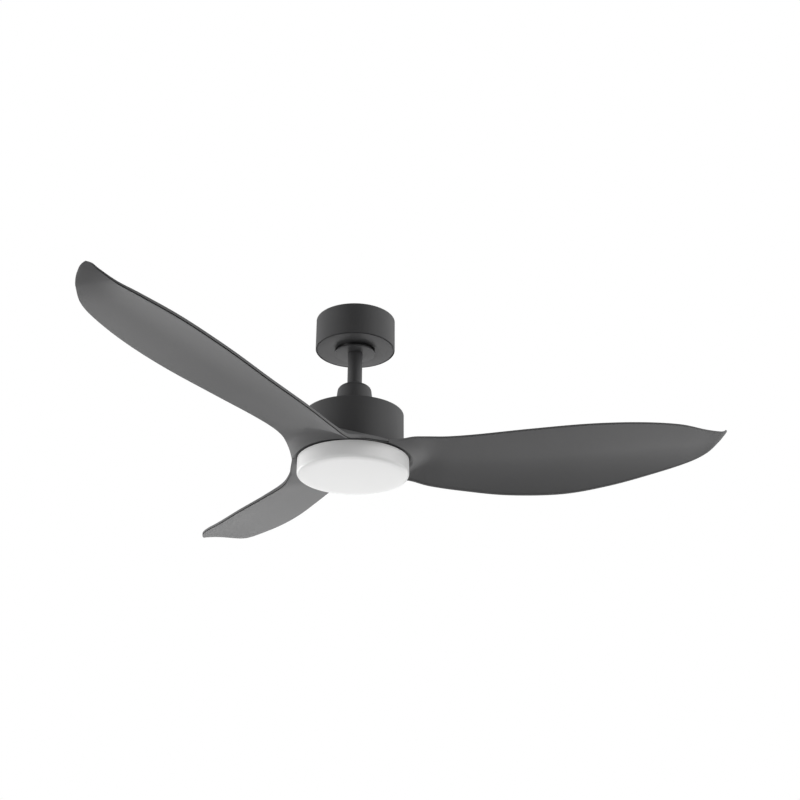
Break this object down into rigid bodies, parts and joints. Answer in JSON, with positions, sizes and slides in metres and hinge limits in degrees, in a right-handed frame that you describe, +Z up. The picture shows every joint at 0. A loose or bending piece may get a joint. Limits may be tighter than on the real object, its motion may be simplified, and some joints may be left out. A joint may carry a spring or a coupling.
{
  "type": "ceiling fan with light",
  "caption": "Ceiling fan: round canopy with a ball-jointed downrod, an outer-rotor motor under a drum housing, scimitar blades and a round opal light below.",
  "frame": {"origin": "centre of the hanger bracket's top face, on the ceiling plane, on the fan's axis", "axes": "+Z up out of the bracket's top face towards the ceiling, along the rotor's axis; +X roughly along one blade, towards the trailing side of its tip"},
  "size_m": [1.043, 1.1593, 0.3104],
  "materials": {
    "anthracite_paint": "satin powder coat, fine orange peel",
    "blade_plastic": "matte moulded ABS with a faint grain",
    "opal_plastic": "opal diffusing acrylic, satin",
    "zinc_steel": "zinc-plated",
    "bright_steel": "ground bearing steel",
    "cast_aluminium": "die-cast, fine blasted",
    "black_nylon": "moulded nylon",
    "magnet_ferrite": "sintered, dull",
    "core_laminate": "stacked electrical steel sheets",
    "copper_wire": "enamelled copper winding",
    "circuit_board": "white solder mask",
    "white_plastic": "moulded, satin"
  },
  "bodies": {
    "ceiling_mount": {"hanger_bracket": "anthracite_paint", "canopy": "anthracite_paint", "canopy_screw_1": "anthracite_paint", "canopy_screw_2": "anthracite_paint", "receiver_box": "white_plastic", "terminal_block": "white_plastic"},
    "seat_liner": {"seat_liner": "black_nylon"},
    "fan_body": {"hanger_ball": "black_nylon", "ball_pin": "zinc_steel", "ball_set_screw": "zinc_steel", "downrod": "anthracite_paint", "downrod_collar": "anthracite_paint", "coupling_yoke": "cast_aluminium", "coupling_bolt": "zinc_steel", "coupling_nut": "zinc_steel", "yoke_set_screw_1": "zinc_steel", "yoke_set_screw_2": "zinc_steel", "coupling_cover": "anthracite_paint", "motor_housing": "anthracite_paint", "housing_screw_1": "zinc_steel", "housing_screw_2": "zinc_steel", "housing_screw_3": "zinc_steel", "motor_shaft": "bright_steel", "stator_core": "core_laminate", "stator_winding": "copper_wire", "upper_inner_race": "bright_steel", "lower_inner_race": "bright_steel", "light_plate": "zinc_steel", "light_nut": "zinc_steel", "light_screw_1": "zinc_steel", "light_screw_2": "zinc_steel", "light_screw_3": "zinc_steel", "light_pan": "white_plastic", "led_board": "circuit_board", "led_driver": "white_plastic", "board_screw_1": "zinc_steel", "board_screw_2": "zinc_steel"},
    "upper_cage": {"upper_ball_cage": "bright_steel"},
    "lower_cage": {"lower_ball_cage": "bright_steel"},
    "rotor": {"rotor_upper_cover": "cast_aluminium", "rotor_lower_cover": "cast_aluminium", "back_iron_ring": "bright_steel", "magnet_ring": "magnet_ferrite", "upper_outer_race": "bright_steel", "lower_outer_race": "bright_steel", "rotor_screw_1": "zinc_steel", "rotor_screw_2": "zinc_steel", "rotor_screw_3": "zinc_steel", "blade_1": "blade_plastic", "blade_2": "blade_plastic", "blade_3": "blade_plastic", "blade_screw_1": "zinc_steel", "blade_screw_2": "zinc_steel", "blade_screw_3": "zinc_steel", "blade_screw_4": "zinc_steel", "blade_screw_5": "zinc_steel", "blade_screw_6": "zinc_steel"},
    "diffuser": {"diffuser": "opal_plastic"}
  },
  "joints": [
    {"name": "liner_tilt", "type": "hinge", "parent": "ceiling_mount", "child": "seat_liner", "pos_m": [0, 0, -0.036], "axis": [1, 0, 0], "range_deg": [-4, 4]},
    {"name": "fan_tilt", "type": "hinge", "parent": "seat_liner", "child": "fan_body", "pos_m": [0, 0, -0.036], "axis": [0, 1, 0], "range_deg": [-4, 4]},
    {"name": "rotor_spin", "type": "hinge", "parent": "fan_body", "child": "rotor", "pos_m": [0, 0, -0.23], "axis": [0, 0, 1], "continuous": true},
    {"name": "upper_cage_spin", "type": "hinge", "parent": "fan_body", "child": "upper_cage", "pos_m": [0, 0, -0.2068], "axis": [0, 0, 1], "continuous": true},
    {"name": "lower_cage_spin", "type": "hinge", "parent": "fan_body", "child": "lower_cage", "pos_m": [0, 0, -0.2453], "axis": [0, 0, 1], "continuous": true},
    {"name": "diffuser_twist", "type": "hinge", "parent": "fan_body", "child": "diffuser", "pos_m": [0, 0, -0.29], "axis": [0, 0, 1], "range_deg": [0, 20]}
  ],
  "couplings": [
    {"joint": "upper_cage_spin", "follows": "rotor_spin", "ratio": 0.6},
    {"joint": "lower_cage_spin", "follows": "rotor_spin", "ratio": 0.6}
  ]
}
